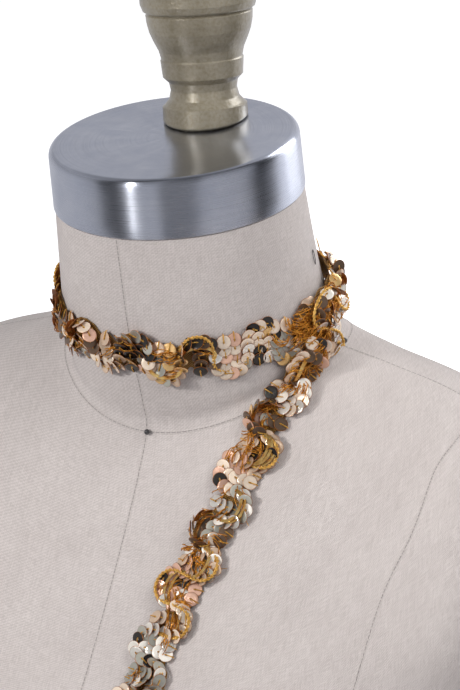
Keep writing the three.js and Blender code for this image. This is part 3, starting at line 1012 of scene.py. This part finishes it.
def braid(material):
    """The net strip that the strings are sewn to, on the form and over its own start."""
    u = np.arange(0.4, LINE.length - 0.2, 1.0)
    sequins = np.array(string_sequins() + column_sequins())
    edges = [side * (reach_at(sequins, u, side) - BRAID_INSET) for side in (-1, 1)]
    edges = [np.convolve(np.pad(edge, 1, mode="edge"), (0.25, 0.5, 0.25), "valid") for edge in edges]
    part = np.linspace(0, 1, BRAID_COLUMNS)
    v = edges[0][:, None] * (1 - part) + edges[1][:, None] * part
    foot, normal, _, _, cover = LINE.lay(u[:, None], v)
    ripple = BRAID_RIPPLE * np.sin(u[:, None] * 1.7 + v * 0.5)
    low = foot + normal * (LINE.lift(cover) + BRAID_LIFT)[..., None]
    high = foot + normal * (LINE.lift(cover) + BRAID_LIFT + BRAID_THICKNESS + ripple)[..., None]
    rows, columns = v.shape
    vertices = np.concatenate([high.reshape(-1, 3), low.reshape(-1, 3)])
    top = grid_faces(rows, columns, False)
    under = rows * columns
    faces = top + moved_on([reversed(face) for face in top], under)
    border = list(range(columns))
    border += [row * columns + columns - 1 for row in range(1, rows)]
    border += [(rows - 1) * columns + column for column in reversed(range(columns - 1))]
    border += [row * columns for row in reversed(range(1, rows - 1))]
    for here, following in zip(border, border[1:] + border[:1]):
        faces.append((here, following, under + following, under + here))
    piece = new_mesh("trim_braid", vertices, faces, [material], 50)
    uvs = np.zeros((len(piece.data.loops), 2), np.float32)
    for loop in piece.data.loops:
        index = loop.vertex_index % under
        uvs[loop.index] = (u[index // columns], v[index // columns, index % columns])
    add_uvs(piece, "threads", uvs)
    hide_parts("sequin_trim")
    widths = edges[1] - edges[0]
    flat = (widths.max() * MM, (u[-1] - u[0]) * MM)
    return add_piece(piece), flat, np.mean(widths) * (u[-1] - u[0]) * MM * MM


def sequin_template():
    """One flat sequin: points, faces, material of each face and distance from the centre."""
    outer = SEQUIN_DIAMETER / 2
    inner = SEQUIN_HOLE / 2
    half = SEQUIN_THICKNESS / 2
    rings = ((inner, half), (outer * 0.62, half - 0.05), (outer - 0.13, half), (outer, 0.0),
             (outer - 0.08, -half), (inner, -half))
    turns = np.linspace(0, 2 * math.pi, SEQUIN_SEGMENTS, endpoint=False)
    points = [(radius * math.cos(turn), radius * math.sin(turn), height)
              for radius, height in rings for turn in turns]
    # The rim round each face and the back take the amber material, which paints in part the dark shade line
    # at each sequin's edge
    kinds = np.repeat([0, 0, 1, 1, 1, 1], SEQUIN_SEGMENTS)
    radii = np.repeat([radius / outer for radius, _ in rings], SEQUIN_SEGMENTS)
    return np.array(points), grid_faces(len(rings), SEQUIN_SEGMENTS, looped=True), kinds, radii


def sequin_places():
    """Every sequin's length along the trim, its crest, its centre and its three axes."""
    rows = np.array(string_sequins() + column_sequins())
    inside = (rows[:, 0] > END_MARGIN) & (rows[:, 0] < LINE.length - END_MARGIN)
    u, v, heading, roll, level, crest = rows[inside].T
    count = len(u)
    u = u + RANDOM.normal(0, SEQUIN_JITTER, count)
    v = v + RANDOM.normal(0, SEQUIN_JITTER, count)
    foot, normal, along, across, cover = LINE.lay(u, v)
    pressed = 1 - smooth_step(u, FIRST_STRETCH, FIRST_STRETCH + HALF_WAVE)
    heading = heading + RANDOM.normal(0, HEADING_SCATTER, count)
    ahead = along * np.cos(heading)[:, None] + across * np.sin(heading)[:, None]
    aside = np.cross(normal, ahead)
    tilt = np.radians(SEQUIN_TILT + RANDOM.normal(0, TILT_SCATTER, count)) * (1 - PRESSED_TILT * pressed)
    in_lap = (u > LAP_START) & (u < LAP_END)
    leaning = in_lap & (v < LAP_ROLLED_TO) & (RANDOM.random(count) < LAP_ROLLED_SHARE)
    roll = np.where(leaning, -np.sign(np.cos(heading)) * LAP_ROLL, roll)
    turn = np.radians(roll + RANDOM.normal(0, ROLL_SCATTER, count)) * (1 - PRESSED_ROLL * pressed)
    cos_turn, sin_turn = np.cos(turn)[:, None], np.sin(turn)[:, None]
    y_axis = aside * cos_turn - normal * sin_turn
    z_flat = normal * cos_turn + aside * sin_turn
    cos_tilt, sin_tilt = np.cos(tilt)[:, None], np.sin(tilt)[:, None]
    x_axis = ahead * cos_tilt - z_flat * sin_tilt
    z_axis = z_flat * cos_tilt + ahead * sin_tilt
    radius = SEQUIN_DIAMETER / 2
    stand = radius * (np.abs(np.sin(tilt)) * np.abs(np.cos(turn)) + np.abs(np.sin(turn)))
    height = LINE.lift(cover) + BRAID_TOP + level * (1 - PRESSED_LEVEL * pressed) + stand + BRAID_LIFT
    return u, crest, foot + normal * height[:, None], (x_axis, y_axis, z_axis)


def sequin_shades_and_reflections(crests):
    """Each crest has its own two shades, partly the sequins' colours and partly painted reflections, with
    odd ones between them.
    """
    names = list(SHADES_AND_REFLECTIONS)
    values = []
    for crest in crests:
        look = crest_look(int(crest))
        draw, other = RANDOM.random(), names[RANDOM.integers(len(names))]
        name = look["first"] if draw < OWN_SHADE else look["second"] if draw < SECOND_SHADE else other
        values.append((names.index(name) + 0.5) / len(names))
    return np.array(values)


def sequin_meshes(places, face, back):
    template, faces, kinds, radii = sequin_template()
    u, crests, centre, axes = places
    tints = sequin_shades_and_reflections(crests)
    dish = RANDOM.normal(0.0, DISH, len(u))
    curl = np.where(RANDOM.random(len(u)) < BENT_SHARE, RANDOM.normal(0, BEND, len(u)), 0.0)
    worn = RANDOM.random(len(u))
    pieces = []
    sections = (("sequins_loop", u < TAIL_FROM), ("sequins_tail", u >= TAIL_FROM))
    for name, chosen in sections:
        index = np.nonzero(chosen)[0]
        local = np.repeat(template[None], len(index), 0)
        reach = SEQUIN_DIAMETER / 2
        away = (local[..., 0] ** 2 + local[..., 1] ** 2) / reach ** 2
        local[..., 2] += dish[index][:, None] * away + curl[index][:, None] * (local[..., 1] / reach) ** 2
        points = centre[index][:, None, :]
        for number, axis in enumerate(axes):
            points = points + local[..., number:number + 1] * axis[index][:, None, :]
        all_faces = []
        for number in range(len(index)):
            all_faces += moved_on(faces, number * len(template))
        piece = new_mesh(name, points, all_faces, [face, back], 45, np.tile(kinds, len(index)))
        point_values(piece, "tint", np.repeat(tints[index], len(template)))
        point_values(piece, "worn", np.repeat(worn[index], len(template)))
        point_values(piece, "disc_radius", np.tile(radii, len(index)))
        pieces.append(add_piece(piece))
    return pieces


def stitches(places, thread):
    """The thread that holds each sequin, from its hole over its rim along the string."""
    out, up = np.array(STITCH_ROUTE).T
    runs = []
    for centre, x_axis, y_axis, z_axis in zip(places[2], *places[3]):
        points = centre + out[:, None] * x_axis + up[:, None] * z_axis
        runs.append((points, np.tile(z_axis, (len(out), 1)), np.tile(y_axis, (len(out), 1))))
    section = round_section(STITCH_RADIUS, 6)
    return add_piece(swept_mesh("sequin_stitches", runs, section, [thread]))


def trim_curve(u, v, height):
    """Points over the trim with their normals and side directions."""
    foot, normal, _, _, cover = LINE.lay(u, v)
    points = foot + normal * (LINE.lift(cover) + height)[:, None]
    along = unit(np.gradient(points, axis=0))
    side = unit(np.cross(normal, along))
    return points, np.cross(along, side), side


def gold_cords(thread):
    """A twisted gold cord that follows the strings, over them on some crests and under on others."""
    waves = np.arange(0.6, LINE.length / HALF_WAVE - 0.4, 0.02)
    base = np.array([string_point(wave) for wave in waves])
    near = np.cos(math.pi * waves)
    over = [float(crest_look(math.floor(wave + 0.5))["cord"]) for wave in waves]
    over = np.convolve(np.pad(over, 12, mode="edge"), np.ones(25) / 25, "valid")
    out = CORD_OUT[0] * (1 - over) + CORD_OUT[1] * over
    up = CORD_UP[0] * (1 - over) + CORD_UP[1] * over
    height = up + 0.25 * np.sin(waves * 5.3)
    points, normals, sides = trim_curve(base[:, 0] + 0.6, base[:, 1] + out * near, height)
    runs = []
    for ply in range(CORD_PLIES):
        phase = (path_lengths(points) / CORD_PITCH + ply / CORD_PLIES) * 2 * math.pi
        offset = sides * np.cos(phase)[:, None] + normals * np.sin(phase)[:, None]
        runs.append((points + offset * PLY_OFFSET, normals, sides))
    return add_piece(swept_mesh("gold_cord", runs, round_section(PLY_RADIUS, 7), [thread]))


def bunch(start_u, start_v, reach, strands):
    """Runs of loose threads that start near one point of the trim and curl the same way."""
    part = np.linspace(0, 1, 13)
    turn = RANDOM.normal(0, BUNCH_TURN)
    curve = RANDOM.normal(0, BUNCH_CURL)
    runs = []
    for _ in range(strands):
        length = RANDOM.uniform(*THREAD_LENGTHS)
        heading = turn + RANDOM.normal(0, 0.22) + curve * (part - 0.5)
        u = start_u + RANDOM.normal(0, 0.6) + np.cumsum(np.cos(heading)) * length / 13
        v = start_v + RANDOM.normal(0, 0.8) + np.cumsum(np.sin(heading)) * length / 13
        u = np.clip(u, 2, LINE.length - 2) + part * 0.01
        v = np.clip(v, 1.0 - reach, reach - 1.0)
        height = THREAD_HEIGHT + np.sin(part * math.pi) * RANDOM.uniform(*THREAD_ARCHES)
        runs.append(trim_curve(u, v, height))
    return runs


def tangles(thread):
    """Bunches of gold thread that lie between the turned-up half waves, and the knot of them."""
    runs = []
    for index in range(int(LINE.length / HALF_WAVE)):
        reach = lobe(index)["reach"]
        centre = HALF_WAVE * index
        in_lap = LAP_START < centre < LAP_END
        heap, strands = (LAP_HEAP, LAP_STRANDS) if in_lap else (HEAP, BUNCH_STRANDS)
        for _ in range(crest_look(index)["bunches"]):
            start_u = centre + RANDOM.uniform(-7, 5)
            start_v = crest_side(index) * RANDOM.uniform(*heap) * reach
            runs += bunch(start_u, start_v, reach, strands)
    for _ in range(KNOT_BUNCHES):
        start_u, start_v = RANDOM.normal(KNOT_PLACE, KNOT_SPREAD)
        runs += bunch(start_u, start_v, KNOT_REACH, KNOT_STRANDS)
    return add_piece(swept_mesh("loose_threads", runs, round_section(THREAD_RADIUS, 5), [thread]))


def thread_ends(thread):
    """Single thread ends that stick out past the edge and lie down on the form."""
    runs = []
    part = np.linspace(0, 1, 12)
    height = 2.2 - 1.9 * part ** 0.7 + 0.2 * np.sin(part * 9)
    for index, reach, slant in THREAD_ENDS:
        v = crest_side(index) * (lobe(index)["reach"] - 2 + reach * part)
        runs.append(trim_curve(HALF_WAVE * index + slant * part, v, height))
    section = round_section(THREAD_END_RADIUS, 5)
    return add_piece(swept_mesh("thread_ends", runs, section, [thread]))


def film_strips(film):
    """Strips of gold film that loop inside some of the half waves."""
    runs = []
    for index, inset, lift in FILM_STRIPS:
        waves = np.linspace(index - FILM_SPAN, index + FILM_SPAN, 33)
        base = np.array([string_point(wave) for wave in waves])
        near = np.cos(math.pi * (waves - index))
        v = base[:, 1] - crest_side(index) * inset * near
        runs.append(trim_curve(base[:, 0], v, lift + FILM_ARCH * near))
    return add_piece(swept_mesh("film_strips", runs, FILM_SECTION, [film], 40))


def trim_pieces():
    face = sequin_face_material()
    back = sequin_back_material()
    thread = gold_thread_material("gold_thread", (0.42, 0.19, 0.025), (0.90, 0.52, 0.11), 0.38)
    cord_thread = gold_thread_material("gold_cord_thread", (0.56, 0.28, 0.04), (0.98, 0.62, 0.18), 0.30)
    tangle_thread = gold_thread_material("amber_thread", (0.25, 0.062, 0.006), (0.98, 0.45, 0.060), 0.24)
    net, flat, area = braid(braid_material())
    places = sequin_places()
    pieces = sequin_meshes(places, face, back)
    pieces.append(stitches(places, thread))
    pieces.append(gold_cords(cord_thread))
    pieces.append(tangles(tangle_thread))
    pieces.append(thread_ends(thread))
    pieces.append(film_strips(film_material()))


# Floor, lights and camera

# Grey levels of the studio: round it by degrees from the front, and by the sine of the height
WALLS = (
    (-180, 1.0), (-150, 0.80), (-110, 0.60), (-70, 0.58), (-50, 0.45), (-41, 0.08), (-26, 0.10),
    (-16, 0.50), (8, 0.56), (18, 0.27), (45, 0.27), (56, 0.54), (98, 0.48), (109, 0.03), (127, 0.05),
    (138, 1.0), (180, 1.0),
)
HEIGHTS = ((-1.0, 0.6), (-0.6, 1.0), (0.0, 1.0), (0.2, 0.85), (0.4, 0.62), (0.6, 0.76), (1.0, 0.3))
WORLD_STRENGTH = 0.87
COOL_GREY = 1.03
WARM_LIGHT = (1.0, 0.985, 0.97)
FLOOR_RADIUS = 24.0

# Lamps: degrees round and above the trim, metres away, size in metres, watts, colour, and
# whether glossy things show them
LAMP_AIM = (0, 0, 0.18)
LAMPS = (
    ("key", -12, 18, 1.5, (0.035, 0.75), 5.0, WARM_LIGHT, True),
    ("front", -25, 18, 1.1, (0.10, 0.10), 6.0, WARM_LIGHT, False),
    ("fill", 72, 42, 0.75, (0.55, 0.55), 3.8, WARM_LIGHT, False),
    ("rim", 154, 32, 1.6, (0.7, 1.2), 11.0, WHITE, True),
)


def stage_floor():
    bpy.ops.mesh.primitive_circle_add(vertices=96, radius=FLOOR_RADIUS, fill_type="NGON", location=(0, 0, 0))
    floor = bpy.context.object
    floor.name = "floor"
    floor.data.materials.append(floor_material())
    floor.visible_diffuse = False
    floor.visible_glossy = False


def placed(name, data, aim, azimuth, elevation, distance):
    """A lamp or camera that looks at a point from an angle round it, an angle up and a distance."""
    a, e = math.radians(azimuth), math.radians(elevation)
    back = Vector((math.sin(a) * math.cos(e), -math.cos(a) * math.cos(e), math.sin(e)))
    thing = bpy.data.objects.new(name, data)
    thing.location = Vector(aim) + back * distance
    thing.rotation_euler = (-back).to_track_quat("-Z", "Y").to_euler()
    bpy.context.scene.collection.objects.link(thing)
    return thing


def studio_world():
    """A white backdrop behind, darker walls beside and in front, and a dim floor."""
    world = bpy.data.worlds.new("studio")
    w = Nodes(world, "Background")
    axes = w.add("ShaderNodeSeparateXYZ", Vector=w.add("ShaderNodeTexCoord").outputs["Generated"])
    forward = w.math("MULTIPLY", axes.outputs[1], -1.0)
    turn = w.math("DEGREES", w.math("ARCTAN2", axes.outputs[0], forward))
    color = w.multiply(w.levels(turn, WALLS), w.levels(axes.outputs[2], HEIGHTS))
    w.set(Color=color, Strength=WORLD_STRENGTH)
    bpy.context.scene.world = world


def lights():
    for name, azimuth, elevation, distance, size, power, color, glossy in LAMPS:
        data = bpy.data.lights.new(name, "AREA")
        data.shape = "RECTANGLE"
        data.size, data.size_y = size
        data.energy = power
        data.color = color
        lamp = placed(name, data, LAMP_AIM, azimuth, elevation, distance)
        lamp.visible_camera = False
        lamp.visible_glossy = glossy
    studio_world()
    bpy.context.scene.view_settings.view_transform = "Standard"


def camera():
    data = bpy.data.cameras.new("camera")
    data.sensor_fit = "AUTO"
    data.sensor_width = SENSOR
    data.lens = FOCAL_PIXELS / max(PHOTO_SIZE) * SENSOR
    data.clip_start, data.clip_end = 0.05, 60.0
    view = placed("camera", data, CAMERA_AIM, CAMERA_AZIMUTH, CAMERA_ELEVATION, CAMERA_DISTANCE)
    bpy.context.scene.camera = view


camera()
linen = cloth_material()
seam_thread = seam_thread_material()
steel = pin_material()
form_cover(linen)
form_seams(linen, seam_thread)
neck_cap()
finial()
pin_head("pin_head_front", "pin_front", FRONT_PIN, steel)
pin_head("pin_head_side", "pin_side", SIDE_PIN, steel)
wire_loop(steel)
trim_pieces()
stage_floor()
lights()
